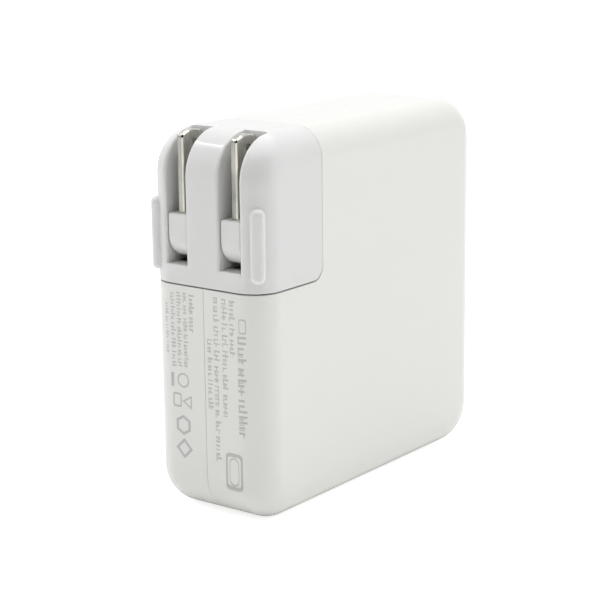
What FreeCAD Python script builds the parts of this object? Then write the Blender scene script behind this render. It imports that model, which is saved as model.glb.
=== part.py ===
"""Laptop power adapter: a rounded square housing of two welded shells, with a slide-off
mains plug head in one corner and two prongs that fold into it on one moulded carrier.

Millimetres. The adapter stands on one narrow face: Z is up from that face, the prongs
swing out towards -Y, the output socket faces +Y, and X runs through the thickness.
"""
import FreeCAD, Part
import math
import os

from FreeCAD import Vector

# ---- driving dimensions -------------------------------------------------------------
WIDTH = 27.3            # X, across the two wide faces
DEPTH = 73.4            # Y, prong face to socket face
HEIGHT = 73.4           # Z, standing on a narrow face
CORNER_R = 8.6          # corners of the square outline
EDGE_R = 5.85           # rounding between wide and narrow faces
WALL = 2.0              # moulded wall
SEAM = 0.03             # half the gap between the two shells
SEAM_ROUND = 0.09       # rounding of the shells' edges at the seam

PLUG_BACK_Y = -17.9     # corner notch: its back wall
PLUG_FLOOR_Z = 44.58    # corner notch: its floor
PLUG_CORNER_R = 2.8     # inner corner of the notch
BACK_GAP = 0.05         # between the plug head and the notch's back wall
SEAT_GAP = 0.26         # between the plug head and the notch's floor
RIM_ROUND = 0.15        # rounding of both rims where the plug head meets the housing
SIDE_RUN = 0.05         # clearance round the sockets let into the shells

PRONG_PITCH = 12.7      # between prong centres
PRONG_T = 1.5
PRONG_W = 6.35
PRONG_TIP_Z = 73.3
PRONG_HOLE_R = 1.6
PRONG_HOLE_Z = 69.9
PRONG_Y = -31.7         # middle of a folded prong
PRONG_SHOULDER = 0.85   # fall of the domed tip to its corners
PRONG_CORNER_R = 0.8    # its corners
PRONG_BEVEL = 0.28      # all its long edges
HINGE_Y, HINGE_Z = -31.8, 52.85
HINGE_PIN_R = 0.75
SLOT_IN_X, SLOT_OUT_X = 3.8, 8.7
SLOT_MIDDLE_X = (SLOT_IN_X + SLOT_OUT_X) / 2
SLOT_BACK_Y = -28.3
SLOT_FLOOR_Z = 48.4
SLOT_ROUND = 0.5
LINER = 1.1             # wall of the pocket round each prong
LIP_BACK_Y = -33.0      # ledge at the pocket's foot
BASE_T = 1.6            # plates of the piece that closes the plug head
BASE_RECESS = 0.06      # its step in from the cover's rim
BASE_GAP = 0.08         # and its clearance inside the cover
BASE_TOP_Z = PLUG_FLOOR_Z + SEAT_GAP + BASE_RECESS + BASE_T
BASE_BACK_Y = PLUG_BACK_Y - BACK_GAP - BASE_RECESS
BOSS_LENGTH = 9.2
CONTACT_OUT_R, CONTACT_IN_R = 1.85, 1.27

KNUCKLE_W = 4.5         # carrier block round each prong, in the middle of its pocket
KNUCKLE_FRONT = 4.35    # hinge axis to its front face
KNUCKLE_BACK = 2.9
KNUCKLE_TOP = 5.05
KNUCKLE_FOOT = 3.55
JOURNAL_R = 2.0
RUN_GAP = 0.08          # radial clearance of the journals

INLET_Z = 62.0          # figure-8 inlet, centre height
INLET_PITCH = 8.6
INLET_PIN_R = 1.18
INLET_LOBE_R = 3.45
INLET_WAIST = 2.4
INLET_FIT = 0.3         # clearance of the plug head's boss in the inlet
INLET_BLOCK_X, INLET_BLOCK_Z, INLET_BLOCK_R = 8.7, 4.6, 1.5
INLET_DEPTH = 9.9
INLET_BACK_Y = PLUG_BACK_Y + INLET_DEPTH + 2.0
PIN_TIP_Y = PLUG_BACK_Y + 0.8
PIN_TAIL_Y = INLET_BACK_Y + 1.5
LEAD_R = 0.8
STUD_Y = -23.5
STUD_R, STUD_HEAD_R = 1.6, 3.0
STUD_FOOT_Z = 41.1
CATCH_T = 0.3           # plate that the stud's head holds
STUD_HEAD_Z = BASE_TOP_Z + CATCH_T + 0.09
STUD_HEAD_T = 1.0

GRIP_ANGLE = 47.0       # place of the finger grip round the rounded edge, from +X
GRIP_RISE = 1.3
GRIP_W = 2.8
GRIP_CREST = 1.1        # rounding along its crest
GRIP_ROOT = 0.12        # fillet where it grows out of the cover
GRIP_Z0, GRIP_Z1 = 46.7, 60.6

BOARD_X = -9.0          # component face of the main board
BOARD_T = 1.6
BOARD_POSTS = ((0.5, 7.5), (30.0, 33.0), (28.0, 50.0), (-3.0, 67.0))
CAN_R, CAN_LENGTH, SLEEVE_T = 6.7, 26.0, 0.25
CAN_ROWS = (12.2, 26.8)
CAN_X, CAN_Y = BOARD_X + CAN_R + SLEEVE_T + 0.2, -31.5
CHOKE_Y, CHOKE_Z = 11.5, 61.0
CORE_Y, CORE_Z, CORE_R = 10.0, 30.5, 3.6
CORE_LOW_X, CORE_HIGH_X = -7.2, 8.6

PORT_Z = HEIGHT / 2
PORT_LONG, PORT_SHORT = 8.94, 3.16
PORT_SHEET = 0.3
PORT_RUN = 0.15         # clearance round the output socket
PORT_FRONT_Y = DEPTH / 2 - 0.3
PORT_BACK_Y = DEPTH / 2 - 7.8
PORT_BOARD_X = -PORT_SHORT / 2 - 1.0

BIG = 200.0
HALF_W, HALF_D = WIDTH / 2, DEPTH / 2
FRONT_Y, BACK_Y = -HALF_D, HALF_D
X_AXIS, Y_AXIS, Z_AXIS = Vector(1, 0, 0), Vector(0, 1, 0), Vector(0, 0, 1)


# ---- small shapes -------------------------------------------------------------------
def box(x0, x1, y0, y1, z0, z1):
    return Part.makeBox(x1 - x0, y1 - y0, z1 - z0, Vector(x0, y0, z0))


def rod(radius, start, axis, length):
    return Part.makeCylinder(radius, length, Vector(*start), axis)


def ring(outer, inner, start, axis, length):
    return rod(outer, start, axis, length).cut(rod(inner, start, axis, length))


def edges_along(shape, axis, keep=lambda edge: True):
    """Straight edges parallel to axis."""
    found = []
    for edge in shape.Edges:
        if edge.Curve.TypeId == "Part::GeomLine":
            way = edge.tangentAt(edge.FirstParameter)
            if abs(way.dot(axis)) > 0.999 and keep(edge):
                found.append(edge)
    return found


def rounded_box(x0, x1, y0, y1, z0, z1, radius, axis):
    """A box with its edges along one axis rounded."""
    block = box(x0, x1, y0, y1, z0, z1)
    return block.makeFillet(radius, edges_along(block, axis))


def edges_in_plane(shape, axis, place, tolerance=1e-4):
    """Edges that lie in the plane where axis . point equals place."""
    found = []
    for edge in shape.Edges:
        marks = [edge.valueAt(edge.FirstParameter + share * (edge.LastParameter - edge.FirstParameter))
                 for share in (0.0, 0.3, 0.7, 1.0)]
        if all(abs(mark.dot(axis) - place) < tolerance for mark in marks):
            found.append(edge)
    return found


def mirror_x(shape):
    return shape.mirror(Vector(0, 0, 0), X_AXIS)


# ---- the housing's envelope ---------------------------------------------------------
def envelope(inset=0.0):
    """The rounded square block, moved in by inset on every face."""
    block = box(-HALF_W + inset, HALF_W - inset, FRONT_Y + inset, BACK_Y - inset, inset, HEIGHT - inset)
    block = block.makeFillet(CORNER_R - inset, edges_along(block, X_AXIS))
    ends = edges_in_plane(block, X_AXIS, HALF_W - inset) + edges_in_plane(block, X_AXIS, -HALF_W + inset)
    return block.makeFillet(EDGE_R - inset, ends)


def corner_space(back_y, floor_z, corner_r):
    """Everything in front of back_y and above floor_z, with a rounded inner corner."""
    space = box(-BIG, BIG, -BIG, back_y, floor_z, BIG)

    def inner_corner(edge):
        at = edge.valueAt(edge.FirstParameter)
        return abs(at.y - back_y) < 1e-6 and abs(at.z - floor_z) < 1e-6

    return space.makeFillet(corner_r, edges_along(space, X_AXIS, inner_corner))


def notch(grow=0.0):
    """The corner that the plug head takes up, grown by grow into the housing."""
    return corner_space(PLUG_BACK_Y + grow, PLUG_FLOOR_Z - grow, PLUG_CORNER_R + grow)


def head_space(inset=0.0):
    """The same corner less the plug head's clearance, moved in by inset."""
    return corner_space(PLUG_BACK_Y - BACK_GAP - inset, PLUG_FLOOR_Z + SEAT_GAP + inset,
                        PLUG_CORNER_R - BACK_GAP - inset)


def edges_where_envelope_meets(other, shape):
    """Edges of shape that lie both on the envelope's skin and on the skin of other."""
    skins = Part.Shell(envelope().Faces), Part.Shell(other.Faces)
    found = []
    for edge in shape.Edges:
        span = edge.LastParameter - edge.FirstParameter
        marks = [Part.Vertex(edge.valueAt(edge.FirstParameter + share * span)) for share in (0.05, 0.5, 0.95)]
        if all(mark.distToShape(skin)[0] < 1e-4 for mark in marks for skin in skins):
            found.append(edge)
    return found


def section_prism(inset, x0, x1):
    """The housing's outline with its notch, moved in by inset, between two X planes."""
    block = box(x0, x1, FRONT_Y + inset, BACK_Y - inset, inset, HEIGHT - inset)
    block = block.makeFillet(CORNER_R - inset, edges_along(block, X_AXIS))
    return block.cut(notch(inset))


def figure_eight(lobe_r, waist, y0, y1):
    """Prism along Y of the two-lobed inlet shape."""
    half = INLET_PITCH / 2
    shape = box(-half, half, y0, y1, INLET_Z - waist, INLET_Z + waist)
    for side in (-1, 1):
        shape = shape.fuse(rod(lobe_r, (side * half, y0, INLET_Z), Y_AXIS, y1 - y0))
    return shape.removeSplitter()


def port_prism(grow, y0, y1):
    """Prism along Y of the output socket's oval, long side upright."""
    half = PORT_SHORT / 2 + grow
    tall = PORT_LONG / 2 + grow
    return rounded_box(-half, half, y0, y1, PORT_Z - tall, PORT_Z + tall, half - 1e-3, Y_AXIS)


# ---- housing shells -----------------------------------------------------------------
def wall_openings():
    """The holes for the inlet, the stud and the output socket, as one cutter."""
    inlet = rounded_box(-INLET_BLOCK_X - SIDE_RUN, INLET_BLOCK_X + SIDE_RUN,
                        PLUG_BACK_Y - 1, PLUG_BACK_Y + WALL + 1,
                        INLET_Z - INLET_BLOCK_Z - SIDE_RUN, INLET_Z + INLET_BLOCK_Z + SIDE_RUN,
                        INLET_BLOCK_R, Y_AXIS)
    stud = rod(STUD_R + SIDE_RUN, (0, STUD_Y, PLUG_FLOOR_Z - WALL - 1), Z_AXIS, WALL + 2)
    port = port_prism(PORT_RUN, BACK_Y - WALL - 1, BACK_Y + 1)
    return inlet.fuse(stud).fuse(port)


def housing():
    """Both shells as one body, hollow, with every opening cut."""
    body = envelope().cut(notch())
    body = body.makeFillet(RIM_ROUND, edges_where_envelope_meets(notch(), body))
    hollow = envelope(WALL).cut(notch(WALL))
    return body.cut(hollow).cut(wall_openings())


def round_seam(shell, side):
    """Rounds the outer edges that meet at the seam."""
    rim = []
    for edge in edges_in_plane(shell, X_AXIS, side * SEAM):
        middle = edge.valueAt((edge.FirstParameter + edge.LastParameter) / 2)
        on_outline = min(abs(middle.y - FRONT_Y), abs(middle.y - BACK_Y),
                         abs(middle.z), abs(middle.z - HEIGHT)) < CORNER_R * 0.3
        inside = (abs(middle.y) < HALF_D - WALL / 2 and WALL / 2 < middle.z < HEIGHT - WALL / 2)
        corner = abs(math.hypot(abs(middle.y) - HALF_D + CORNER_R,
                                abs(middle.z - HEIGHT / 2) - HEIGHT / 2 + CORNER_R) - CORNER_R) < 0.01
        if (on_outline and not inside) or corner:
            rim.append(edge)
    return shell.makeFillet(SEAM_ROUND, rim)


def make_right_shell():
    half = housing().common(box(SEAM, BIG, -BIG, BIG, -BIG, BIG))
    half = round_seam(half, 1)
    return half.cut(section_prism(WALL / 2, 0, 1.6))


def make_left_shell():
    half = housing().common(box(-BIG, -SEAM, -BIG, BIG, -BIG, BIG))
    half = round_seam(half, -1)
    tongue = section_prism(WALL / 2 + 0.06, -0.5, 1.4).cut(section_prism(WALL, -BIG, BIG))
    half = half.fuse(tongue.cut(wall_openings()))
    for y, z in BOARD_POSTS:
        half = half.fuse(rod(1.5, (-HALF_W + WALL / 2, y, z), X_AXIS, BOARD_X - BOARD_T + HALF_W - WALL / 2))
        half = half.cut(rod(0.9, (BOARD_X - BOARD_T - 1.65, y, z), X_AXIS, 3.0))
    return half


# ---- mains inlet in the notch -------------------------------------------------------
def inlet_pin(side):
    x = side * INLET_PITCH / 2
    pin = rod(INLET_PIN_R, (x, PIN_TIP_Y, INLET_Z), Y_AXIS, PIN_TAIL_Y - PIN_TIP_Y)
    tip = edges_in_plane(pin, Y_AXIS, PIN_TIP_Y)
    return pin.makeFillet(0.8, tip)


def make_inlet_socket():
    block = rounded_box(-INLET_BLOCK_X, INLET_BLOCK_X, PLUG_BACK_Y, INLET_BACK_Y,
                        INLET_Z - INLET_BLOCK_Z, INLET_Z + INLET_BLOCK_Z, INLET_BLOCK_R, Y_AXIS)
    flange_y = PLUG_BACK_Y + WALL + SIDE_RUN
    flange = rounded_box(-10.0, 10.0, flange_y, flange_y + 1.5, INLET_Z - INLET_BLOCK_Z - 1.2,
                         INLET_Z + INLET_BLOCK_Z + 1.2, INLET_BLOCK_R, Y_AXIS)
    recess = figure_eight(INLET_LOBE_R, INLET_WAIST, PLUG_BACK_Y - 1, PLUG_BACK_Y + INLET_DEPTH)
    block = block.fuse(flange).cut(recess)
    return block.cut(inlet_pin(-1)).cut(inlet_pin(1))


def make_lead(side, turn_y):
    """Insulated lead from a pin's tail, round one bend, down to the main board."""
    start = Vector(side * INLET_PITCH / 2, PIN_TAIL_Y, INLET_Z)
    bend_r = 1.8
    knee = Vector(start.x, turn_y - bend_r, INLET_Z)
    middle = Vector(start.x - bend_r * (1 - math.cos(math.pi / 4)),
                    knee.y + bend_r * math.sin(math.pi / 4), INLET_Z)
    after = Vector(start.x - bend_r, turn_y, INLET_Z)
    end = Vector(BOARD_X, turn_y, INLET_Z)
    path = Part.Wire([Part.LineSegment(start, knee).toShape(),
                      Part.Arc(knee, middle, after).toShape(),
                      Part.LineSegment(after, end).toShape()])
    section = Part.Wire([Part.Circle(start, Y_AXIS, LEAD_R).toShape()])
    return path.makePipeShell([section], True, False)


def make_retention_stud():
    shank = rod(STUD_R, (0, STUD_Y, STUD_FOOT_Z), Z_AXIS, STUD_HEAD_Z - STUD_FOOT_Z)
    head = rod(STUD_HEAD_R, (0, STUD_Y, STUD_HEAD_Z), Z_AXIS, STUD_HEAD_T)
    head = head.makeFillet(0.35, edges_in_plane(head, Z_AXIS, STUD_HEAD_Z + STUD_HEAD_T))
    return shank.fuse(head).removeSplitter()


def make_stud_retainer():
    top = PLUG_FLOOR_Z - WALL - 0.05
    return ring(3.6, STUD_R, (0, STUD_Y, top - 1.2), Z_AXIS, 1.2)


# ---- plug head ----------------------------------------------------------------------
def plug_envelope(inset=0.0):
    return envelope(inset).common(head_space())


def grip(side):
    """Moulded finger grip: a round-ended bar on the rounded upright edge."""
    angle = math.radians(GRIP_ANGLE)
    out = Vector(math.cos(angle), -math.sin(angle), 0)
    across = Vector(math.sin(angle), math.cos(angle), 0)
    axis_at = Vector(HALF_W - EDGE_R, FRONT_Y + EDGE_R, 0)
    reach = EDGE_R + GRIP_RISE
    base = axis_at + out * (EDGE_R - 1.2)
    half = GRIP_W / 2
    low, high = GRIP_Z0 + half, GRIP_Z1 - half
    a = base - across * half
    b = base + across * half
    wire = Part.Wire([
        Part.LineSegment(a + Z_AXIS * low, a + Z_AXIS * high).toShape(),
        Part.Arc(a + Z_AXIS * high, base + Z_AXIS * GRIP_Z1, b + Z_AXIS * high).toShape(),
        Part.LineSegment(b + Z_AXIS * high, b + Z_AXIS * low).toShape(),
        Part.Arc(b + Z_AXIS * low, base + Z_AXIS * GRIP_Z0, a + Z_AXIS * low).toShape(),
    ])
    bar = Part.Face(wire).extrude(out * (reach - EDGE_R + 1.2))
    crest = edges_in_plane(bar, out, axis_at.dot(out) + reach)
    bar = bar.makeFillet(GRIP_CREST, crest)
    return bar if side > 0 else mirror_x(bar)


def slot(side):
    """The pocket that one prong folds into."""
    pocket = box(SLOT_IN_X, SLOT_OUT_X, -BIG, SLOT_BACK_Y, SLOT_FLOOR_Z, BIG)
    return pocket if side > 0 else mirror_x(pocket)


def both_sides(shape):
    return shape.fuse(mirror_x(shape))


def round_mouth(cover):
    """Softens the outer edges of the two pockets, and the ledge at their foot."""
    rim = []
    for x in (SLOT_IN_X, SLOT_OUT_X):
        for sign in (-1, 1):
            for edge in edges_in_plane(cover, X_AXIS, sign * x):
                middle = edge.valueAt((edge.FirstParameter + edge.LastParameter) / 2)
                depth = distance_inside(middle.y, middle.z)
                if depth < 1.0 and middle.z > SLOT_FLOOR_Z + 0.01 and edge.Length > 1.0:
                    rim.append(edge)

    def at_lip(edge):
        at = edge.valueAt(edge.FirstParameter)
        return abs(at.y - FRONT_Y) < 1e-4 and abs(at.z - SLOT_FLOOR_Z) < 1e-4

    return cover.makeFillet(SLOT_ROUND, rim + edges_along(cover, X_AXIS, at_lip))


def distance_inside(y, z):
    """How far a point of the side view lies inside the square outline's upper front part."""
    centre_y, centre_z = FRONT_Y + CORNER_R, HEIGHT - CORNER_R
    if y < centre_y and z > centre_z:
        return CORNER_R - math.hypot(y - centre_y, z - centre_z)
    return min(y - FRONT_Y, HEIGHT - z)


def make_plug_cover():
    hollow = envelope(WALL).common(notch(1.0))
    liner = box(SLOT_IN_X - LINER, SLOT_OUT_X + LINER, -BIG, SLOT_BACK_Y + LINER, SLOT_FLOOR_Z, BIG)
    hollow = hollow.cut(both_sides(liner))
    ledge = box(SLOT_IN_X - LINER, SLOT_OUT_X + LINER, -BIG, LIP_BACK_Y, BASE_TOP_Z + 0.07, SLOT_FLOOR_Z)
    hollow = hollow.cut(both_sides(ledge))
    cover = plug_envelope()
    cover = cover.makeFillet(RIM_ROUND, edges_where_envelope_meets(head_space(), cover)).cut(hollow)
    cover = cover.cut(slot(1)).cut(slot(-1))
    cover = round_mouth(cover)
    for side in (-1, 1):
        cover = cover.fuse(grip(side))
        cover = cover.makeFillet(GRIP_ROOT, edges_where_envelope_meets(grip(side), cover))
    # behind each pocket: room for the knuckle, and a bearing open to the back in each side wall
    back_y = SLOT_BACK_Y + LINER + 0.1
    room = box(SLOT_IN_X, SLOT_OUT_X, SLOT_BACK_Y - 0.1, back_y, SLOT_FLOOR_Z - 1, HINGE_Z + 7.2)
    cover = cover.cut(both_sides(room))
    reach = SLOT_OUT_X + LINER + 0.1
    bore = JOURNAL_R + RUN_GAP
    bearing = rod(bore, (-reach, HINGE_Y, HINGE_Z), X_AXIS, 2 * reach)
    entry = box(-reach, reach, HINGE_Y, back_y, HINGE_Z - bore, HINGE_Z + bore)
    return cover.cut(bearing).cut(entry).removeSplitter()


def make_plug_base():
    """Inner closing piece: two plates, the inlet boss and the saddles behind the hinge."""
    inside = envelope(WALL + BASE_GAP).common(head_space(BASE_RECESS))
    plates = inside.cut(head_space(BASE_RECESS + BASE_T))
    boss_y = BASE_BACK_Y
    root_y = boss_y - 0.5
    boss = figure_eight(INLET_LOBE_R - INLET_FIT, INLET_WAIST - INLET_FIT, root_y, boss_y + BOSS_LENGTH)
    base = plates.fuse(boss)
    saddle_y = HINGE_Y + JOURNAL_R + 0.1
    low_z, high_z = HINGE_Z - JOURNAL_R, HINGE_Z + JOURNAL_R
    inner = box(SLOT_IN_X - LINER + 0.1, SLOT_IN_X - 0.25, saddle_y, root_y, low_z, high_z)
    base = base.fuse(both_sides(inner))
    outer = box(SLOT_OUT_X + 0.1, SLOT_OUT_X + LINER - 0.1, saddle_y, root_y, low_z, high_z)
    base = base.fuse(both_sides(outer))
    for side in (-1, 1):
        x = side * INLET_PITCH / 2
        base = base.cut(rod(CONTACT_OUT_R + 0.05, (x, boss_y - BASE_T - 1, INLET_Z), Y_AXIS,
                            BOSS_LENGTH + BASE_T + 1 - 0.6))
        base = base.cut(rod(INLET_PIN_R + 0.35, (x, boss_y, INLET_Z), Y_AXIS, BOSS_LENGTH + 1))
    # keyhole channel that slides over the stud
    shank = box(-STUD_R - 0.3, STUD_R + 0.3, STUD_Y - STUD_R - 0.3, BIG, PLUG_FLOOR_Z - 1, PLUG_FLOOR_Z + 3)
    head = box(-STUD_HEAD_R - 0.3, STUD_HEAD_R + 0.3, STUD_Y - STUD_HEAD_R - 0.4, PLUG_BACK_Y + 1,
               BASE_TOP_Z, PLUG_FLOOR_Z + 3.6)
    return base.cut(shank).cut(head).removeSplitter()


def make_catch_plate():
    """Steel plate with a keyhole that takes the stud's load on the plug head's floor."""
    plate = box(-5.5, 5.5, STUD_Y - 4.5, PLUG_BACK_Y - BASE_T - 1.4, BASE_TOP_Z, BASE_TOP_Z + CATCH_T)
    keyhole = box(-STUD_R - 0.25, STUD_R + 0.25, STUD_Y - STUD_R - 0.25, BIG, 0, BIG)
    return plate.cut(keyhole)


def make_contact(side):
    """Sleeve for an inlet pin, with a strip down to a foot under the prong's knuckle."""
    x = INLET_PITCH / 2
    sleeve_y = BASE_BACK_Y - BASE_T - 0.6
    sleeve_end = BASE_BACK_Y + BOSS_LENGTH - 0.7
    sleeve = rod(CONTACT_OUT_R, (x, sleeve_y, INLET_Z), Y_AXIS, sleeve_end - sleeve_y)
    foot_z = BASE_TOP_Z + 0.35
    middle = SLOT_MIDDLE_X
    web = box(x - 1.2, x + 1.5, sleeve_y - 0.4, sleeve_y, INLET_Z - 7.0, INLET_Z + 1.5)
    cross = box(SLOT_IN_X, middle + 1.5, sleeve_y - 0.4, sleeve_y, INLET_Z - 9.0, INLET_Z - 6.5)
    drop = box(middle - 1.5, middle + 1.5, sleeve_y - 0.4, sleeve_y, foot_z, INLET_Z - 6.5)
    foot = box(middle - 1.5, middle + 1.5, LIP_BACK_Y + 0.4, sleeve_y, foot_z, foot_z + 0.4)
    contact = sleeve.fuse(web).fuse(cross).fuse(drop).fuse(foot).removeSplitter()
    contact = contact.cut(rod(CONTACT_IN_R, (x, sleeve_y, INLET_Z), Y_AXIS, BIG))
    return contact if side > 0 else mirror_x(contact)


def make_contacts():
    return Part.makeCompound([make_contact(1), make_contact(-1)])


# ---- folding prongs -----------------------------------------------------------------
def blade(side):
    """Flat strip with bevelled edges, a domed tip and a round hole near it."""
    x = side * PRONG_PITCH / 2
    front, back = PRONG_Y - PRONG_W / 2, PRONG_Y + PRONG_W / 2
    root_z = HINGE_Z - 1.2
    shoulder = PRONG_TIP_Z - PRONG_SHOULDER
    left = x - PRONG_T / 2
    wire = Part.Wire([
        Part.LineSegment(Vector(left, front, root_z), Vector(left, front, shoulder)).toShape(),
        Part.Arc(Vector(left, front, shoulder), Vector(left, PRONG_Y, PRONG_TIP_Z),
                 Vector(left, back, shoulder)).toShape(),
        Part.LineSegment(Vector(left, back, shoulder), Vector(left, back, root_z)).toShape(),
        Part.LineSegment(Vector(left, back, root_z), Vector(left, front, root_z)).toShape(),
    ])
    strip = Part.Face(wire).extrude(Vector(PRONG_T, 0, 0))
    strip = strip.makeFillet(PRONG_CORNER_R, edges_along(
        strip, X_AXIS, lambda edge: edge.valueAt(edge.FirstParameter).z > shoulder - 1e-6))
    rim = edges_in_plane(strip, X_AXIS, left) + edges_in_plane(strip, X_AXIS, left + PRONG_T)
    strip = strip.makeChamfer(PRONG_BEVEL, [edge for edge in rim if edge.CenterOfMass.z > root_z + 1e-6])
    return strip.cut(rod(PRONG_HOLE_R, (left - 1, PRONG_Y, PRONG_HOLE_Z), X_AXIS, PRONG_T + 2))


def knuckle():
    inner = SLOT_MIDDLE_X - KNUCKLE_W / 2
    block = box(inner, inner + KNUCKLE_W, HINGE_Y - KNUCKLE_FRONT, HINGE_Y + KNUCKLE_BACK,
                HINGE_Z - KNUCKLE_FOOT, HINGE_Z + KNUCKLE_TOP)

    def at(y, z):
        return lambda edge: (abs(edge.valueAt(edge.FirstParameter).y - y) < 1e-6
                             and abs(edge.valueAt(edge.FirstParameter).z - z) < 1e-6)

    front, back = HINGE_Y - KNUCKLE_FRONT, HINGE_Y + KNUCKLE_BACK
    foot, top = HINGE_Z - KNUCKLE_FOOT, HINGE_Z + KNUCKLE_TOP
    block = block.makeFillet(4.5, edges_along(block, X_AXIS, at(front, foot)))
    block = block.makeFillet(2.6, edges_along(block, X_AXIS, at(back, foot)))
    block = block.makeFillet(0.5, edges_along(block, X_AXIS, at(front, top)))
    sides = edges_in_plane(block, X_AXIS, inner) + edges_in_plane(block, X_AXIS, inner + KNUCKLE_W)
    return block.makeFillet(0.3, sides)


def make_prong_carrier():
    """White moulding: two knuckles joined by the cross shaft that turns in the plug head."""
    carrier = both_sides(knuckle())
    half = SLOT_OUT_X + LINER - 0.05
    carrier = carrier.fuse(rod(JOURNAL_R, (-half, HINGE_Y, HINGE_Z), X_AXIS, 2 * half))
    carrier = carrier.cut(blade(1)).cut(blade(-1))
    carrier = carrier.cut(rod(HINGE_PIN_R, (-BIG, HINGE_Y, HINGE_Z), X_AXIS, 2 * BIG))
    return carrier.removeSplitter()


def make_prong(side):
    """A blade, with a clear hole at its root for the hinge pin."""
    return blade(side).cut(rod(HINGE_PIN_R + 0.3, (-BIG, HINGE_Y, HINGE_Z), X_AXIS, 2 * BIG))


def make_hinge_pin():
    half = SLOT_OUT_X + LINER - 0.05
    return rod(HINGE_PIN_R, (-half, HINGE_Y, HINGE_Z), X_AXIS, 2 * half)


def make_detent_spring():
    """Leaf that bears on the carrier's cross shaft to hold the prongs in or out."""
    spring_y = HINGE_Y + JOURNAL_R + 0.12
    leaf = box(-1.8, 1.8, spring_y, spring_y + 0.35, HINGE_Z - 3.2, HINGE_Z + 4.2)
    base_y = BASE_BACK_Y - BASE_T
    leg = box(-1.8, 1.8, spring_y, base_y, HINGE_Z + 4.2, HINGE_Z + 4.55)
    return leaf.fuse(leg).removeSplitter()


# ---- main board and what it carries -------------------------------------------------
def l_plate(x0, thickness, edge, corner_r):
    """Plate filling the housing's side view, edge in from the walls and clear of the notch."""
    plate = box(x0, x0 + thickness, FRONT_Y + edge, BACK_Y - edge, edge, HEIGHT - edge)
    plate = plate.makeFillet(corner_r, edges_along(plate, X_AXIS))
    step = box(-BIG, BIG, -BIG, PLUG_BACK_Y + WALL + 2.0, PLUG_FLOOR_Z - WALL - 1.0, BIG)
    return plate.cut(step)


def make_main_board():
    board = l_plate(BOARD_X - BOARD_T, BOARD_T, 3.6, 6.0)
    for y, z in BOARD_POSTS:
        board = board.cut(rod(1.1, (-BIG, y, z), X_AXIS, 2 * BIG))
    return board


def make_insulation_sheet():
    sheet = l_plate(-HALF_W + WALL + 0.1, 0.2, 5.2, 5.0)
    for y, z in BOARD_POSTS:
        sheet = sheet.cut(rod(1.8, (-BIG, y, z), X_AXIS, 2 * BIG))
    return sheet


def make_board_screws():
    screws = []
    for y, z in BOARD_POSTS:
        shank = rod(0.9, (BOARD_X - BOARD_T - 1.6, y, z), X_AXIS, BOARD_T + 1.6)
        head = rod(1.9, (BOARD_X, y, z), X_AXIS, 1.3)
        head = head.makeFillet(0.4, edges_in_plane(head, X_AXIS, BOARD_X + 1.3))
        socket = box(BOARD_X + 0.6, BOARD_X + 2, y - 1.1, y + 1.1, z - 0.25, z + 0.25)
        cross = box(BOARD_X + 0.6, BOARD_X + 2, y - 0.25, y + 0.25, z - 1.1, z + 1.1)
        screws.append(shank.fuse(head).cut(socket).cut(cross).removeSplitter())
    return Part.makeCompound(screws)


def make_bulk_capacitor_cans():
    cans = []
    for z in CAN_ROWS:
        can = rod(CAN_R, (CAN_X, CAN_Y, z), Y_AXIS, CAN_LENGTH)
        can = can.makeFillet(0.8, edges_in_plane(can, Y_AXIS, CAN_Y))
        groove = ring(CAN_R + 1, CAN_R - 0.5, (CAN_X, CAN_Y + CAN_LENGTH - 3.0, z), Y_AXIS, 1.0)
        cans.append(can.cut(groove))
    return Part.makeCompound(cans)


def make_bulk_capacitor_sleeves():
    sleeves = [ring(CAN_R + SLEEVE_T, CAN_R, (CAN_X, CAN_Y + 0.9, z), Y_AXIS, CAN_LENGTH - 0.9)
               for z in CAN_ROWS]
    return Part.makeCompound(sleeves)


def make_capacitor_leads():
    """Wire legs of the two large capacitors, bent down to the board."""
    leads = []
    for z in CAN_ROWS:
        for offset in (-2.5, 2.5):
            start = CAN_Y + CAN_LENGTH
            arm = box(CAN_X - 0.35, CAN_X + 0.35, start, start + 1.6, z + offset - 0.35, z + offset + 0.35)
            leg = box(BOARD_X, CAN_X + 0.35, start + 0.9, start + 1.6, z + offset - 0.35, z + offset + 0.35)
            leads.append(arm.fuse(leg).removeSplitter())
    return Part.makeCompound(leads)


def make_filter_capacitor():
    """Boxed film capacitor across the mains."""
    body = box(BOARD_X, 3.4, -32.0, -17.0, 34.3, 40.6)
    return body.makeFillet(0.5, edges_along(body, X_AXIS))


def make_choke_core():
    return ring(6.4, 3.6, (-7.3, CHOKE_Y, CHOKE_Z), X_AXIS, 6.0)


def make_choke_windings():
    """Two separate windings, one on each half of the ring core."""
    coat = ring(7.6, 2.4, (-8.6, CHOKE_Y, CHOKE_Z), X_AXIS, 8.6).cut(make_choke_core())
    gap = box(-BIG, BIG, CHOKE_Y - BIG, CHOKE_Y + BIG, CHOKE_Z - 1.4, CHOKE_Z + 1.4)
    return coat.cut(gap)


def make_transformer_core():
    core = box(CORE_LOW_X, CORE_HIGH_X, CORE_Y - 11, CORE_Y + 11, CORE_Z - 7, CORE_Z + 7)
    window = box(CORE_LOW_X + 3, CORE_HIGH_X - 3, CORE_Y - 8.4, CORE_Y + 8.4, -BIG, BIG)
    leg = rod(CORE_R, (CORE_LOW_X + 2, CORE_Y, CORE_Z), X_AXIS, CORE_HIGH_X - CORE_LOW_X - 4)
    core = core.cut(window).fuse(leg).removeSplitter()
    return core.makeChamfer(0.4, edges_along(core, X_AXIS, lambda edge: abs(abs(
        edge.valueAt(edge.FirstParameter).y - CORE_Y) - 11) < 1e-6))


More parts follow.
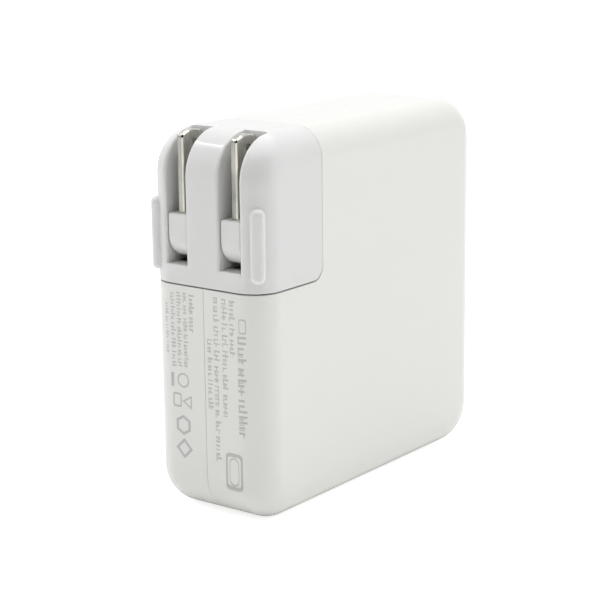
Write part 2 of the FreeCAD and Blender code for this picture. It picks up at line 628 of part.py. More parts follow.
def make_transformer_bobbin():
    low, high = CORE_LOW_X + 3.05, CORE_HIGH_X - 3.05
    bobbin = ring(CORE_R + 0.85, CORE_R + 0.1, (low, CORE_Y, CORE_Z), X_AXIS, high - low)
    for x in (low, high - 0.7):
        bobbin = bobbin.fuse(ring(8.2, CORE_R + 0.1, (x, CORE_Y, CORE_Z), X_AXIS, 0.7))
    for side in (-1, 1):
        z = CORE_Z + side * 8.6
        root_z = CORE_Z + side * 6
        rail = box(BOARD_X, low + 0.7, CORE_Y - 8, CORE_Y + 8, z - 1.3, z + 1.3)
        arm = box(low, low + 0.7, CORE_Y - 6, CORE_Y + 6, min(root_z, z), max(root_z, z))
        bobbin = bobbin.fuse(rail).fuse(arm.cut(rod(CORE_R + 0.1, (-BIG, CORE_Y, CORE_Z), X_AXIS, 2 * BIG)))
    return bobbin.removeSplitter()


def make_transformer_winding():
    low, high = CORE_LOW_X + 3.8, CORE_HIGH_X - 3.8
    return ring(8.0, CORE_R + 0.9, (low, CORE_Y, CORE_Z), X_AXIS, high - low)


def make_fuse():
    body = rod(1.9, (-6.6, 20.5, 66.2), Y_AXIS, 7.0)
    body = body.makeFillet(0.3, body.Edges[:1])
    legs = None
    for y in (21.0, 26.6):
        leg = box(BOARD_X, -7.9, y - 0.3, y + 0.3, 65.9, 66.5)
        legs = leg if legs is None else legs.fuse(leg)
    return body.fuse(legs).removeSplitter()


def make_thermistor():
    disc = rod(3.8, (-4.6, 24.0, 58.0), Z_AXIS, 2.6)
    disc = disc.makeFillet(1.0, [edge for edge in disc.Edges if edge.Curve.TypeId == "Part::GeomCircle"])
    return disc


def make_thermistor_legs():
    disc = make_thermistor()
    legs = [box(BOARD_X, -7.6, y - 0.3, y + 0.3, 59.0, 59.6).cut(disc) for y in (22.0, 26.0)]
    return Part.makeCompound(legs)


def make_rectifier():
    body = box(BOARD_X, BOARD_X + 3.4, -11.0, 1.0, 46.0, 54.0)
    return body.makeChamfer(0.6, edges_in_plane(body, X_AXIS, BOARD_X + 3.4))


def make_transistors():
    pieces = []
    for y in (5.0, 13.5):
        piece = box(BOARD_X, BOARD_X + 2.3, y, y + 6.5, 42.5, 50.0)
        pieces.append(piece.makeChamfer(0.3, edges_in_plane(piece, X_AXIS, BOARD_X + 2.3)))
    return Part.makeCompound(pieces)


def make_output_capacitors():
    cans = []
    for y, z in ((26.5, 13.0), (26.5, 22.5), (17.5, 10.5)):
        can = rod(4.0, (BOARD_X + 0.2, y, z), X_AXIS, 11.5)
        cans.append(can.makeFillet(0.6, edges_in_plane(can, X_AXIS, BOARD_X + 11.7)))
    return Part.makeCompound(cans)


def make_heat_spreader():
    """Aluminium sheet over the tall parts, against the right shell."""
    plate = box(10.7, 11.2, -30.0, 30.0, 7.0, 40.0)
    plate = plate.fuse(box(10.7, 11.2, -10.0, 30.0, 39.0, 66.0))
    return plate.removeSplitter()


def make_thermal_pad():
    return box(CORE_HIGH_X, 10.7, CORE_Y - 9, CORE_Y + 9, CORE_Z - 6, CORE_Z + 6)


# ---- output socket ------------------------------------------------------------------
def make_output_board():
    board = box(PORT_BOARD_X, PORT_BOARD_X + 1.0, 22.0, 33.6, PORT_Z - 7.5, PORT_Z + 7.5)
    return board.makeFillet(0.8, edges_along(board, X_AXIS))


def make_board_link():
    """Pin row that carries the output board on the main board."""
    body = box(BOARD_X, BOARD_X + 2.5, 22.6, 25.1, PORT_Z - 6.6, PORT_Z + 6.6)
    for index in range(5):
        z = PORT_Z + (index - 2) * 2.54
        body = body.fuse(box(BOARD_X, PORT_BOARD_X, 23.5, 24.2, z - 0.35, z + 0.35))
    return body.removeSplitter()


def make_port_shell():
    tube = port_prism(0, PORT_BACK_Y, PORT_FRONT_Y).cut(port_prism(-PORT_SHEET, PORT_BACK_Y + 0.4, BIG))
    return tube


def make_port_tongue():
    base_y = PORT_BACK_Y + 0.4
    base = port_prism(-PORT_SHEET - 0.02, base_y, base_y + 1.4)
    blade = box(-0.35, 0.35, base_y, PORT_FRONT_Y - 0.7, PORT_Z - 3.3, PORT_Z + 3.3)
    blade = blade.makeChamfer(0.15, edges_in_plane(blade, Y_AXIS, PORT_FRONT_Y - 0.7))
    return base.fuse(blade).removeSplitter()


def make_port_contacts():
    strips = []
    for face in (-1, 1):
        for index in range(12):
            z = PORT_Z + (index - 5.5) * 0.5
            x0, x1 = sorted((face * 0.35, face * 0.41))
            strips.append(box(x0, x1, PORT_BACK_Y + 1.9, PORT_FRONT_Y - 1.1, z - 0.13, z + 0.13))
    return Part.makeCompound(strips)


PARTS = {
    "right_shell": make_right_shell,
    "left_shell": make_left_shell,
    "inlet_socket": make_inlet_socket,
    "inlet_pins": lambda: Part.makeCompound([inlet_pin(1), inlet_pin(-1)]),
    "inlet_leads": lambda: Part.makeCompound([make_lead(-1, -2.2), make_lead(1, 0.6)]),
    "retention_stud": make_retention_stud,
    "stud_retainer": make_stud_retainer,
    "main_board": make_main_board,
    "board_screws": make_board_screws,
    "insulation_sheet": make_insulation_sheet,
    "bulk_capacitor_cans": make_bulk_capacitor_cans,
    "bulk_capacitor_sleeves": make_bulk_capacitor_sleeves,
    "bulk_capacitor_leads": make_capacitor_leads,
    "filter_capacitor": make_filter_capacitor,
    "choke_core": make_choke_core,
    "choke_windings": make_choke_windings,
    "transformer_core": make_transformer_core,
    "transformer_bobbin": make_transformer_bobbin,
    "transformer_winding": make_transformer_winding,
    "fuse": make_fuse,
    "thermistor": make_thermistor,
    "thermistor_legs": make_thermistor_legs,
    "rectifier": make_rectifier,
    "transistors": make_transistors,
    "output_capacitors": make_output_capacitors,
    "heat_spreader": make_heat_spreader,
    "thermal_pad": make_thermal_pad,
    "output_board": make_output_board,
    "board_link": make_board_link,
    "port_shell": make_port_shell,
    "port_tongue": make_port_tongue,
    "port_contacts": make_port_contacts,
    "plug_cover": make_plug_cover,
    "plug_base": make_plug_base,
    "catch_plate": make_catch_plate,
    "plug_contacts": make_contacts,
    "detent_spring": make_detent_spring,
    "prong_carrier": make_prong_carrier,
    "prong_left": lambda: make_prong(-1),
    "prong_right": lambda: make_prong(1),
    "hinge_pin": make_hinge_pin,
}


def main():
    os.makedirs("parts", exist_ok=True)
    for name, make in PARTS.items():
        shape = make()
        print(name, shape.isValid(), len(shape.Solids), round(shape.Volume, 1))
        shape.exportStep(os.path.join("parts", name + ".step"))


main()
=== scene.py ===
import math
import random

import bmesh
import bpy
from mathutils import Matrix, Vector


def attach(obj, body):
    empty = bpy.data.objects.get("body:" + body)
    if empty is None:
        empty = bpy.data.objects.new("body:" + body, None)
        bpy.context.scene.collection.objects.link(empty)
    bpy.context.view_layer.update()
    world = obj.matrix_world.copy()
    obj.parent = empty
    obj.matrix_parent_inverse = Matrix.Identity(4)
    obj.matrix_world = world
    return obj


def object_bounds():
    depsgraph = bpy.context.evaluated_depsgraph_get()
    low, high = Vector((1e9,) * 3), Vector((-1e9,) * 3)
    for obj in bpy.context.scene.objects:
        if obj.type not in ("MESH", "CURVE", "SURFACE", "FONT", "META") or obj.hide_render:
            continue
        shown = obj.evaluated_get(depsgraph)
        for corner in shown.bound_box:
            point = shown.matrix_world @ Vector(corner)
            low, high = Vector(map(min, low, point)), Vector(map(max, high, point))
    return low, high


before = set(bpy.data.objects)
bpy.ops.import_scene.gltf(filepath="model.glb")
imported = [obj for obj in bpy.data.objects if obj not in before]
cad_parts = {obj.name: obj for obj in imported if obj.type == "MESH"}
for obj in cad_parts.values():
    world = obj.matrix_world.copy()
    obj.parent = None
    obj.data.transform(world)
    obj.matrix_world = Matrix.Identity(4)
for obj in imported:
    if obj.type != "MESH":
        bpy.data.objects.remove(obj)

cad_box = [list(corner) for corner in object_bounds()]

# ---- Table, light and viewpoint -----------------------------------------------------
# The adapter stands on one narrow face on a plain white table, in a bright room that is
# dark behind the viewer, under two large soft lamps and two thin ones. It is seen from its
# prong side, a little above its middle.
low, high = (Vector(corner) for corner in cad_box)
middle = (low + high) / 2

eye = (0.21399, -0.28946, 0.12184)
turn, dip, roll = 37.164, 13.519, -0.673
lens = bpy.data.cameras.new("view")
lens.sensor_width = 36.0
lens.lens = 110.81
camera = bpy.data.objects.new("view", lens)
bpy.context.scene.collection.objects.link(camera)
camera.matrix_world = (Matrix.Translation(eye)
                       @ Matrix.Rotation(math.radians(turn), 4, "Z")
                       @ Matrix.Rotation(math.radians(90 - dip), 4, "X")
                       @ Matrix.Rotation(math.radians(roll), 4, "Z"))
bpy.context.scene.camera = camera
bpy.context.scene.view_settings.view_transform = "Standard"


def new_material(name):
    """A material with its node tree and its Principled shader."""
    material = bpy.data.materials.new("finish_" + name)
    material.use_nodes = True
    return material, material.node_tree, material.node_tree.nodes["Principled BSDF"]


def calculate(tree, operation, first, second):
    """A math node on two sockets or numbers."""
    node = tree.nodes.new("ShaderNodeMath")
    node.operation = operation
    for value, socket in ((first, node.inputs[0]), (second, node.inputs[1])):
        if isinstance(value, (int, float)):
            socket.default_value = value
        else:
            tree.links.new(value, socket)
    return node.outputs[0]


def soft_step(tree, value, span, levels):
    """Changes smoothly from the first level to the second while the value crosses the span."""
    node = tree.nodes.new("ShaderNodeMapRange")
    node.interpolation_type = "SMOOTHSTEP"
    node.inputs["From Min"].default_value, node.inputs["From Max"].default_value = span
    node.inputs["To Min"].default_value, node.inputs["To Max"].default_value = levels
    tree.links.new(value, node.inputs["Value"])
    return node.outputs["Result"]


table_white, tree, shader = new_material("table_white")
shader.inputs["Base Color"].default_value = (0.94, 0.94, 0.935, 1)
shader.inputs["Roughness"].default_value = 0.6
shader.inputs["Specular IOR Level"].default_value = 0.2
shader.inputs["Emission Color"].default_value = (1.0, 1.0, 1.0, 1)
table_glow = 0.09
glow_in_view = 0.60
in_view = tree.nodes.new("ShaderNodeLightPath").outputs["Is Camera Ray"]
added_glow = calculate(tree, "MULTIPLY", in_view, glow_in_view)
tree.links.new(calculate(tree, "ADD", added_glow, table_glow), shader.inputs["Emission Strength"])
bpy.ops.mesh.primitive_plane_add(size=6.0, location=(0, 0, low.z))
table = bpy.context.object
table.name = "table"
table.data.materials.append(table_white)

# The walls fade to dark round the viewer, and give less soft light from straight behind.
dark_side = (0.62, -0.77, 0.12)
wall_light = 0.895
shade_behind = 0.70
studio = bpy.data.worlds.new("studio")
bpy.context.scene.world = studio
studio.use_nodes = True
room = studio.node_tree
facing = room.nodes.new("ShaderNodeVectorMath")
facing.operation = "DOT_PRODUCT"
facing.inputs[1].default_value = dark_side
room.links.new(room.nodes.new("ShaderNodeTexCoord").outputs["Generated"], facing.inputs[0])
path = room.nodes.new("ShaderNodeLightPath")
fading = soft_step(room, facing.outputs["Value"], span=(0.10, 0.95), levels=(wall_light, 0.0))
behind = soft_step(room, facing.outputs["Value"], span=(-1.0, -0.35), levels=(shade_behind, 0.0))
lost_light = calculate(room, "MULTIPLY", path.outputs["Is Diffuse Ray"], behind)
room_light = calculate(room, "MULTIPLY", fading, calculate(room, "SUBTRACT", 1.0, lost_light))
lit_walls = room.nodes["Background"]
lit_walls.inputs["Color"].default_value = (1.0, 1.0, 1.0, 1)
room.links.new(room_light, lit_walls.inputs["Strength"])
backdrop = room.nodes.new("ShaderNodeBackground")
backdrop.inputs["Color"].default_value = (1.0, 1.0, 1.0, 1)
backdrop.inputs["Strength"].default_value = 1.0
seen = room.nodes.new("ShaderNodeMixShader")
room.links.new(path.outputs["Is Camera Ray"], seen.inputs["Fac"])
room.links.new(lit_walls.outputs["Background"], seen.inputs[1])
room.links.new(backdrop.outputs["Background"], seen.inputs[2])
room.links.new(seen.outputs["Shader"], room.nodes["World Output"].inputs["Surface"])


def add_softbox(name, direction, distance, width, height, watts):
    """A rectangular lamp that faces the adapter's middle from one direction."""
    lamp = bpy.data.lights.new(name, "AREA")
    lamp.shape = "RECTANGLE"
    lamp.size = width
    lamp.size_y = height
    lamp.energy = watts
    holder = bpy.data.objects.new(name, lamp)
    bpy.context.scene.collection.objects.link(holder)
    holder.location = middle + Vector(direction).normalized() * distance
    holder.rotation_euler = (middle - holder.location).to_track_quat("-Z", "Y").to_euler()


add_softbox("softbox_right", (0.86, 0.42, 0.30), 0.9, width=0.7, height=0.7, watts=0.50)
add_softbox("softbox_top", (0.02, 0.05, 1.0), 1.0, width=1.4, height=1.4, watts=9.6)
for slat, lean in enumerate((-0.045, 0.045), start=1):
    direction = (-0.637 + lean, -0.204, 0.743 + lean)
    add_softbox(f"slat_lamp_{slat}", direction, 0.8, width=0.24, height=0.006, watts=0.09)

# ---- Housing shells -----------------------------------------------------------------
# Two shells injection moulded in a warm white polycarbonate, polished in the tool, and
# welded together along the middle line.


def add_socket(group, name, kind, output=False, default=None):
    """Adds one named socket to a shader group."""
    way = "OUTPUT" if output else "INPUT"
    socket = group.interface.new_socket(name=name, in_out=way, socket_type=kind)
    if default is not None:
        socket.default_value = default


def noise(tree, vector, scale, detail):
    """A noise texture on a vector socket."""
    node = tree.nodes.new("ShaderNodeTexNoise")
    node.inputs["Scale"].default_value = scale
    node.inputs["Detail"].default_value = detail
    tree.links.new(vector, node.inputs["Vector"])
    return node.outputs["Fac"]


def ramp(tree, value, start, end):
    """Rises from 0 at start to 1 at end, and is flat beyond."""
    node = tree.nodes.new("ShaderNodeMapRange")
    node.inputs["From Min"].default_value = start
    node.inputs["From Max"].default_value = end
    tree.links.new(value, node.inputs["Value"])
    return node.outputs["Result"]


def in_tone(tree, colour, tone):
    """The colour made lighter or darker by a factor."""
    node = tree.nodes.new("ShaderNodeHueSaturation")
    tree.links.new(colour, node.inputs["Color"])
    tree.links.new(tone, node.inputs["Value"])
    return node.outputs["Color"]


def moulded_surface_group():
    """Moulded plastic: drifting tone with specks of dust, hairline rubs, and a fine orange peel."""
    group = bpy.data.node_groups.new("moulded_surface", "ShaderNodeTree")
    add_socket(group, "Colour", "NodeSocketColor")
    add_socket(group, "Drift", "NodeSocketFloat", default=0.02)
    add_socket(group, "Roughness", "NodeSocketFloat", default=0.15)
    add_socket(group, "Rubs", "NodeSocketFloat", default=0.1)
    add_socket(group, "Specks", "NodeSocketFloat", default=0.0)
    add_socket(group, "Colour", "NodeSocketColor", output=True)
    add_socket(group, "Roughness", "NodeSocketFloat", output=True)
    add_socket(group, "Height", "NodeSocketFloat", output=True)
    given = group.nodes.new("NodeGroupInput")
    result = group.nodes.new("NodeGroupOutput")
    place = group.nodes.new("ShaderNodeTexCoord").outputs["Object"]

    cloud = noise(group, place, scale=38.0, detail=3.0)
    drift = calculate(group, "MULTIPLY", calculate(group, "SUBTRACT", cloud, 0.5), given.outputs["Drift"])
    cells = group.nodes.new("ShaderNodeTexVoronoi")
    cells.inputs["Scale"].default_value = 150.0
    group.links.new(place, cells.inputs["Vector"])
    chosen = group.nodes.new("ShaderNodeSeparateColor")
    group.links.new(cells.outputs["Color"], chosen.inputs["Color"])
    speck = ramp(group, cells.outputs["Distance"], start=0.022, end=0.012)
    few_cells = ramp(group, chosen.outputs["Red"], start=0.80, end=0.95)
    dust = calculate(group, "MULTIPLY", speck, few_cells)
    dulled = calculate(group, "MULTIPLY", dust, given.outputs["Specks"])
    tone = calculate(group, "SUBTRACT", calculate(group, "ADD", drift, 1.0), dulled)
    group.links.new(in_tone(group, given.outputs["Colour"], tone), result.inputs["Colour"])

    lay = group.nodes.new("ShaderNodeMapping")
    lay.inputs["Rotation"].default_value = (0.5, 0.3, 0.2)
    lay.inputs["Scale"].default_value = (900.0, 2600.0, 240.0)
    group.links.new(place, lay.inputs["Vector"])
    hairlines = ramp(group, noise(group, lay.outputs["Vector"], scale=1.0, detail=1.0), start=0.60, end=0.75)
    handled = ramp(group, noise(group, place, scale=65.0, detail=2.0), start=0.35, end=0.75)
    rubbed = calculate(group, "MULTIPLY", calculate(group, "ADD", hairlines, handled), given.outputs["Rubs"])
    group.links.new(calculate(group, "ADD", rubbed, given.outputs["Roughness"]), result.inputs["Roughness"])
    group.links.new(noise(group, place, scale=420.0, detail=2.0), result.inputs["Height"])
    return group


moulded_surface = moulded_surface_group()


def surface_finish(name, surface, values, distance, strength):
    """A material whose colour, roughness and bump come from one surface group."""
    material, tree, shader = new_material(name)
    made = tree.nodes.new("ShaderNodeGroup")
    made.node_tree = surface
    for socket, value in values.items():
        made.inputs[socket].default_value = value
    tree.links.new(made.outputs["Colour"], shader.inputs["Base Color"])
    tree.links.new(made.outputs["Roughness"], shader.inputs["Roughness"])
    bump = tree.nodes.new("ShaderNodeBump")
    bump.inputs["Distance"].default_value = distance
    bump.inputs["Strength"].default_value = strength
    tree.links.new(made.outputs["Height"], bump.inputs["Height"])
    tree.links.new(bump.outputs["Normal"], shader.inputs["Normal"])
    return material, shader


def plastic(name, colour, roughness, drift=0.02, rubs=0.04, peel=0.00001, specks=0.0, milky=0.0):
    """A moulded plastic in one colour; a milky one lets some light soak in."""
    values = {"Colour": (*colour, 1), "Drift": drift, "Roughness": roughness, "Rubs": rubs, "Specks": specks}
    material, shader = surface_finish(name, moulded_surface, values, distance=peel, strength=0.4)
    shader.inputs["IOR"].default_value = 1.5
    shader.inputs["Subsurface Weight"].default_value = milky
    shader.inputs["Subsurface Scale"].default_value = 0.0015
    shader.inputs["Subsurface Radius"].default_value = (1.0, 1.0, 1.0)
    return material


def dress(material, *nodes):
    """Gives CAD nodes their finished material."""
    for node in nodes:
        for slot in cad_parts[node].material_slots:
            slot.material = material


housing_white = plastic("housing_white", (0.800, 0.806, 0.772), roughness=0.13, specks=0.35)
dress(housing_white, "right_shell", "left_shell")

# ---- Printed rating block -----------------------------------------------------------
# A pale grey ink film, pad printed on the prong face below the plug head. Rows of plain
# ticks stand in for its words, and plain outlines for its marks.
MM = 0.001
flat_half = 7.8 * MM
round_r = 5.85 * MM
face_y = low.y
ink_lift = 0.006 * MM
widest_strip = 0.35 * MM

ink_grey = plastic("ink_grey", (0.52, 0.525, 0.51), roughness=0.42, drift=0.10, rubs=0.05)


def printed_point(x, z):
    """A point of the ink film on the prong face, which rounds off towards its sides."""
    past = max(0.0, abs(x) - flat_half)
    dip = round_r - math.sqrt(round_r ** 2 - past ** 2)
    lean = past / round_r
    side = 1 if x > 0 else -1
    return Vector((x + side * ink_lift * lean, face_y + dip - ink_lift * math.sqrt(1 - lean ** 2), z))


def ink_patch(film, corners, cuts=1):
    """One printed patch from two matching edges, divided so that it follows the rounding."""
    near, far = corners
    rows = []
    for step in range(cuts + 1):
        share = step / cuts
        places = [(a[0] + (b[0] - a[0]) * share, a[1] + (b[1] - a[1]) * share) for a, b in zip(near, far)]
        rows.append([film.verts.new(printed_point(x, z)) for x, z in places])
    for before, after in zip(rows, rows[1:]):
        for index in range(len(before) - 1):
            film.faces.new((before[index], before[index + 1], after[index + 1], after[index]))


def ink_bar(film, x0, x1, z0, z1):
    """A printed rectangle, in millimetres."""
    x0, x1, z0, z1 = (value * MM for value in (x0, x1, z0, z1))
    cuts = max(1, math.ceil((x1 - x0) / widest_strip))
    ink_patch(film, (((x0, z0), (x0, z1)), ((x1, z0), (x1, z1))), cuts)


def ink_outline(film, points, stroke):
    """A closed printed line through points, in millimetres."""
    centre_x = sum(x for x, z in points) / len(points)
    centre_z = sum(z for x, z in points) / len(points)
    inner = []
    for x, z in points:
        reach = math.hypot(x - centre_x, z - centre_z)
        share = (reach - stroke) / reach
        inner.append((centre_x + (x - centre_x) * share, centre_z + (z - centre_z) * share))
    outer_ring = [(x * MM, z * MM) for x, z in points + points[:1]]
    inner_ring = [(x * MM, z * MM) for x, z in inner + inner[:1]]
    ink_patch(film, (outer_ring, inner_ring))


def rounded_outline(x0, x1, z0, z1, radius, steps=6):
    """Points round a rectangle with rounded corners, in millimetres."""
    points = []
    for cx, cz, turn in ((x1 - radius, z1 - radius, 0), (x0 + radius, z1 - radius, 90),
                         (x0 + radius, z0 + radius, 180), (x1 - radius, z0 + radius, 270)):
        for step in range(steps + 1):
            angle = math.radians(turn + 90 * step / steps)
            points.append((cx + radius * math.cos(angle), cz + radius * math.sin(angle)))
    return points


def regular_outline(cx, cz, radius, sides, turn=0):
    """Points of a regular shape, in millimetres."""
    return [(cx + radius * math.cos(math.radians(turn + 360 * side / sides)),
             cz + radius * math.sin(math.radians(turn + 360 * side / sides))) for side in range(sides)]


def tick_row(film, x0, height, z_top, words, weight, seed):
    """A row of upright ticks that runs down the face, in groups as long as words."""
    pick = random.Random(seed)
    advance = height * 0.60
    word_gap = advance * 0.7
    thickest = advance * 0.42
    short_reach = height * 0.66
    dash_width = height * 0.15
    z = z_top
    for letters in words:
        for _ in range(letters):
            reach = height * pick.choice((0.72, 0.72, 0.72, 1.0, 1.0, 0.66))
            stroke = min(height * weight * pick.choice((1.0, 1.25, 1.5)), thickest)
            ink_bar(film, x0, x0 + reach, z - stroke, z)
            if pick.random() < 0.40:
                ink_bar(film, x0, x0 + short_reach, z - advance * 0.74, z - advance * 0.56)
            if pick.random() < 0.60:
                dash = height * pick.choice((0.02, 0.30, 0.52))
                ink_bar(film, x0 + dash, x0 + dash + dash_width, z - advance * 0.95, z - stroke)
            z -= advance
        z -= word_gap


def printed_piece(name, film):
    """Turns a finished film into a piece that rides on the housing."""
    mesh = bpy.data.meshes.new(name)
    film.to_mesh(mesh)
    film.free()
    mesh.materials.append(ink_grey)
    piece = bpy.data.objects.new(name, mesh)
    bpy.context.scene.collection.objects.link(piece)
    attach(piece, "housing")


# Each row has its left edge, height, top, word lengths, weight and seed.
left_film = bmesh.new()
for x0, height, z_top, words, weight, seed in (
        (-9.50, 0.95, 40.8, (4, 2, 5, 4), 0.16, 1),
        (-8.00, 1.10, 43.0, (8, 4, 3, 5), 0.17, 2),
        (-6.50, 1.05, 43.3, (10, 9, 3), 0.17, 3),
        (-4.95, 1.10, 43.3, (3, 3, 4, 10), 0.17, 4),
        (-3.50, 1.25, 43.1, (5, 4), 0.24, 5)):
    tick_row(left_film, x0, height, z_top, words, weight, seed)
ink_bar(left_film, -8.35, -7.60, 24.8, 27.5)
ink_outline(left_film, regular_outline(-5.35, 26.3, 1.45, 20), stroke=0.34)
ink_outline(left_film, regular_outline(-4.15, 22.2, 1.60, 3, turn=180), stroke=0.62)
ink_outline(left_film, rounded_outline(-7.95, -5.85, 20.9, 23.7, 0.5), stroke=0.40)
ink_outline(left_film, regular_outline(-5.55, 17.5, 2.00, 6, turn=30), stroke=0.62)
ink_outline(left_film, regular_outline(-5.45, 12.9, 2.05, 4), stroke=0.75)
printed_piece("rating_print_left", left_film)

right_film = bmesh.new()
for x0, height, z_top, words, weight, seed in (
        (0.75, 1.25, 35.3, (4, 5, 4, 3), 0.17, 6),
        (2.35, 1.35, 43.4, (6, 5, 3, 4, 5, 2, 3, 6), 0.17, 7),
        (4.30, 1.35, 43.4, (5, 2, 3, 5, 4, 6), 0.17, 8),
        (6.10, 1.30, 43.3, (5, 3, 4), 0.20, 9),
        (7.95, 1.75, 36.8, (5, 5, 7), 0.24, 10)):
    tick_row(right_film, x0, height, z_top, words, weight, seed)
ink_outline(right_film, rounded_outline(8.25, 9.75, 37.3, 40.1, 0.45), stroke=0.25)
ink_outline(right_film, rounded_outline(4.60, 8.60, 6.8, 14.1, 0.9), stroke=0.75)
ink_outline(right_film, rounded_outline(5.45, 7.75, 7.7, 13.2, 1.1), stroke=0.30)
printed_piece("rating_print_right", right_film)

# ---- Mains inlet --------------------------------------------------------------------
# A figure-8 inlet moulded in a flame-retardant white, with two turned and plated pins,
# and the steel stud that the plug head slides over. All of it is behind the plug head.


def metal_surface_group():
    """Worked metal: streaked along its grain, rougher and darker on faces along Y where a press has cut it;
    the darkening there is partly painted shade.
    """
    group = bpy.data.node_groups.new("metal_surface", "ShaderNodeTree")
    add_socket(group, "Colour", "NodeSocketColor")
    add_socket(group, "Grain", "NodeSocketVector")
    add_socket(group, "Streaks", "NodeSocketFloat", default=0.15)
    add_socket(group, "Roughness", "NodeSocketFloat", default=0.25)
    add_socket(group, "Cut_and_shade", "NodeSocketFloat", default=0.0)
    add_socket(group, "Colour", "NodeSocketColor", output=True)
    add_socket(group, "Roughness", "NodeSocketFloat", output=True)
    add_socket(group, "Height", "NodeSocketFloat", output=True)
    given = group.nodes.new("NodeGroupInput")
    result = group.nodes.new("NodeGroupOutput")
    spot = group.nodes.new("ShaderNodeTexCoord")
    place = spot.outputs["Object"]

    lay = group.nodes.new("ShaderNodeVectorMath")
    lay.operation = "MULTIPLY"
    group.links.new(place, lay.inputs[0])
    group.links.new(given.outputs["Grain"], lay.inputs[1])
    streak = noise(group, lay.outputs["Vector"], scale=1.0, detail=4.0)
    tarnish = noise(group, place, scale=190.0, detail=3.0)
    clouds = calculate(group, "MULTIPLY", calculate(group, "SUBTRACT", tarnish, 0.5), 0.7)
    mottled = calculate(group, "ADD", calculate(group, "SUBTRACT", streak, 0.5), clouds)
    change = calculate(group, "MULTIPLY", mottled, given.outputs["Streaks"])
    normal = group.nodes.new("ShaderNodeSeparateXYZ")
    group.links.new(spot.outputs["Normal"], normal.inputs["Vector"])
    facing_y = calculate(group, "ABSOLUTE", normal.outputs["Y"], 0.0)
    # Faces along Y are made darker: partly the duller press-cut edge, partly painted shade.
    sheared_and_shaded = ramp(group, facing_y, start=0.88, end=0.97)
    dulled = calculate(group, "MULTIPLY", sheared_and_shaded, given.outputs["Cut_and_shade"])
    tone = calculate(group, "SUBTRACT", calculate(group, "ADD", change, 1.0), dulled)
    group.links.new(in_tone(group, given.outputs["Colour"], tone), result.inputs["Colour"])
    haze = calculate(group, "MULTIPLY", calculate(group, "ADD", change, dulled), 0.25)
    group.links.new(calculate(group, "ADD", haze, given.outputs["Roughness"]), result.inputs["Roughness"])
    group.links.new(streak, result.inputs["Height"])
    return group


metal_surface = metal_surface_group()


def metal(name, colour, roughness, grain=(900, 900, 900), streaks=0.15, depth=0.000004, cut_and_shade=0.0):
    """A bare or plated metal in one colour, with its grain along one direction."""
    values = {"Colour": (*colour, 1), "Grain": grain, "Streaks": streaks, "Roughness": roughness, "Cut_and_shade": cut_and_shade}
    material, shader = surface_finish(name, metal_surface, values, distance=depth, strength=0.6)
    shader.inputs["Metallic"].default_value = 1.0
    return material


inlet_white = plastic("inlet_white", (0.74, 0.74, 0.73), roughness=0.36, peel=0.00002)
dress(inlet_white, "inlet_socket")
dress(metal("pin_nickel", (0.66, 0.63, 0.59), roughness=0.20, grain=(2500, 180, 2500)), "inlet_pins")
stud_steel = metal("stud_steel", (0.60, 0.60, 0.60), roughness=0.18, grain=(2200, 2200, 300))
dress(stud_steel, "retention_stud")
dress(plastic("lead_insulation", (0.03, 0.03, 0.03), roughness=0.42), "inlet_leads")
strip_steel = metal("strip_steel", (0.42, 0.42, 0.43), roughness=0.32, grain=(300, 2600, 2600))
dress(strip_steel, "stud_retainer")

# ---- Circuit boards and insulation --------------------------------------------------
# Glass-epoxy laminate under green solder mask, screwed to posts of the left shell over
# an amber insulating film. Copper shows through the mask as slightly lighter tracks.
board_green, tree, shader = new_material("board_green")
place = tree.nodes.new("ShaderNodeTexCoord").outputs["Object"]
tracks = tree.nodes.new("ShaderNodeTexVoronoi")
tracks.distance = "MANHATTAN"
tracks.feature = "DISTANCE_TO_EDGE"
tracks.inputs["Scale"].default_value = 260.0
tree.links.new(place, tracks.inputs["Vector"])
track_mask = ramp(tree, tracks.outputs["Distance"], start=0.06, end=0.09)
blend = tree.nodes.new("ShaderNodeMix")
blend.data_type = "RGBA"
blend.inputs["A"].default_value = (0.05, 0.24, 0.10, 1)
blend.inputs["B"].default_value = (0.02, 0.13, 0.05, 1)
tree.links.new(track_mask, blend.inputs["Factor"])
tree.links.new(blend.outputs["Result"], shader.inputs["Base Color"])
raised = tree.nodes.new("ShaderNodeBump")
raised.invert = True
raised.inputs["Distance"].default_value = 0.00004
tree.links.new(track_mask, raised.inputs["Height"])
tree.links.new(raised.outputs["Normal"], shader.inputs["Normal"])
shader.inputs["Roughness"].default_value = 0.30
dress(board_green, "main_board", "output_board")
dress(stud_steel, "board_screws")
dress(plastic("insulation_film", (0.62, 0.48, 0.16), roughness=0.28, drift=0.10), "insulation_sheet")
dress(plastic("header_black", (0.03, 0.03, 0.035), roughness=0.45, drift=0.15), "board_link")

# ---- Parts on the main board --------------------------------------------------------
# Two drawn aluminium capacitors in shrunk sleeves, a boxed film capacitor, a ferrite
# ring with two windings, a taped transformer on its bobbin, and the switching parts.
aluminium_grey = (0.74, 0.75, 0.76)
can_aluminium = metal("can_aluminium", aluminium_grey, roughness=0.30, grain=(160, 2200, 2200), streaks=0.12)
dress(can_aluminium, "bulk_capacitor_cans", "output_capacitors", "heat_spreader")
dress(plastic("sleeve_black", (0.025, 0.025, 0.035), roughness=0.30, drift=0.2), "bulk_capacitor_sleeves")
dress(plastic("film_box_yellow", (0.72, 0.50, 0.09), roughness=0.40, drift=0.08), "filter_capacitor")
dress(plastic("ferrite_grey", (0.06, 0.06, 0.065), roughness=0.62, drift=0.35, peel=0.00006),
      "choke_core", "transformer_core")
dress(plastic("bobbin_black", (0.03, 0.03, 0.03), roughness=0.40, drift=0.2), "transformer_bobbin")
dress(plastic("winding_tape", (0.76, 0.58, 0.11), roughness=0.34, drift=0.12), "transformer_winding")
dress(plastic("fuse_ceramic", (0.74, 0.71, 0.65), roughness=0.55, drift=0.12, peel=0.00003), "fuse")
dress(plastic("thermistor_coat", (0.04, 0.10, 0.08), roughness=0.35, drift=0.25), "thermistor")
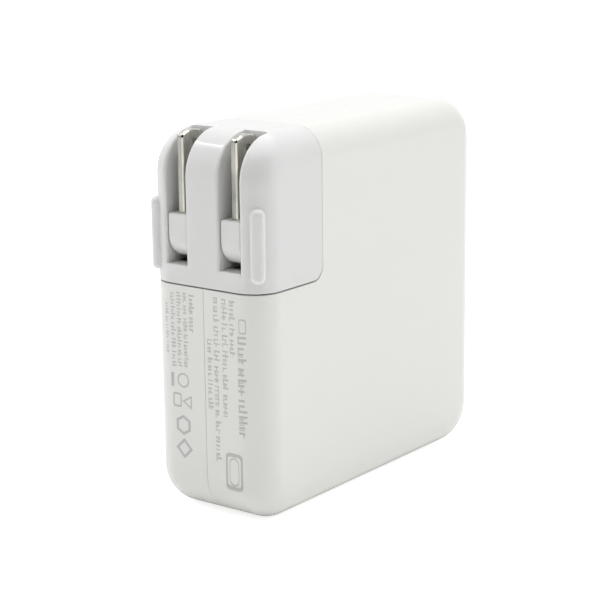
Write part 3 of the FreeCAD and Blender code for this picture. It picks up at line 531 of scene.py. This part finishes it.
dress(plastic("chip_black", (0.025, 0.025, 0.025), roughness=0.50, drift=0.2), "rectifier", "transistors")
dress(plastic("pad_grey", (0.33, 0.35, 0.38), roughness=0.70, drift=0.2, peel=0.00005), "thermal_pad")
dress(metal("tinned_wire", (0.62, 0.62, 0.61), roughness=0.30, grain=(1800, 1800, 200)),
      "bulk_capacitor_leads", "thermistor_legs")

# The choke's windings are enamelled copper wire, laid side by side round the ring.
enamelled = {"Colour": (0.62, 0.23, 0.09, 1), "Grain": (500, 500, 500), "Streaks": 0.3, "Roughness": 0.25}
copper, shader = surface_finish("choke_wire", metal_surface, enamelled, distance=0.00002, strength=0.5)
shader.inputs["Metallic"].default_value = 0.8
shader.inputs["Coat Weight"].default_value = 0.6
dress(copper, "choke_windings")

# ---- Output socket ------------------------------------------------------------------
# A deep-drawn stainless shell round a black moulded tongue with gold-flashed contacts.
dress(metal("port_steel", (0.52, 0.52, 0.52), roughness=0.26, grain=(2600, 200, 2600), streaks=0.2),
      "port_shell")
dress(plastic("tongue_black", (0.02, 0.02, 0.02), roughness=0.42, drift=0.2), "port_tongue")
dress(metal("contact_gold", (0.86, 0.62, 0.26), roughness=0.22, grain=(2400, 300, 2400)), "port_contacts")

# ---- Plug head ----------------------------------------------------------------------
# A corner moulding of its own in a slightly cooler white, with two upright pockets for the
# prongs and a finger grip on each front edge. Its inner plates hold bronze contacts, a
# steel catch for the stud, and the spring that holds the prongs open or shut.
dress(plastic("head_white", (0.752, 0.757, 0.749), roughness=0.07, peel=0.000005, milky=0.4), "plug_cover")
dress(metal("contact_dark", (0.36, 0.34, 0.31), roughness=0.30, grain=(1200, 300, 1200), streaks=0.5),
      "plug_contacts")
dress(inlet_white, "plug_base")
dress(strip_steel, "catch_plate", "detent_spring")

# ---- Folding prongs -----------------------------------------------------------------
# Blades stamped from brass strip, nickel plated and brushed along their length, set in a white
# carrier that turns in the plug head. Their two press-cut edges are rougher, and darker partly as painted
# shade.
dress(plastic("carrier_white", (0.76, 0.76, 0.745), roughness=0.20, milky=0.3), "prong_carrier")
# The cut setting darkens the blades' front and back edges, partly as painted shade on the front edge.
brushed_nickel = metal("prong_nickel", (0.655, 0.645, 0.59), roughness=0.10, grain=(2600, 2600, 90),
                       streaks=0.9, cut_and_shade=0.44)
dress(brushed_nickel, "prong_left", "prong_right")
dress(stud_steel, "hinge_pin")
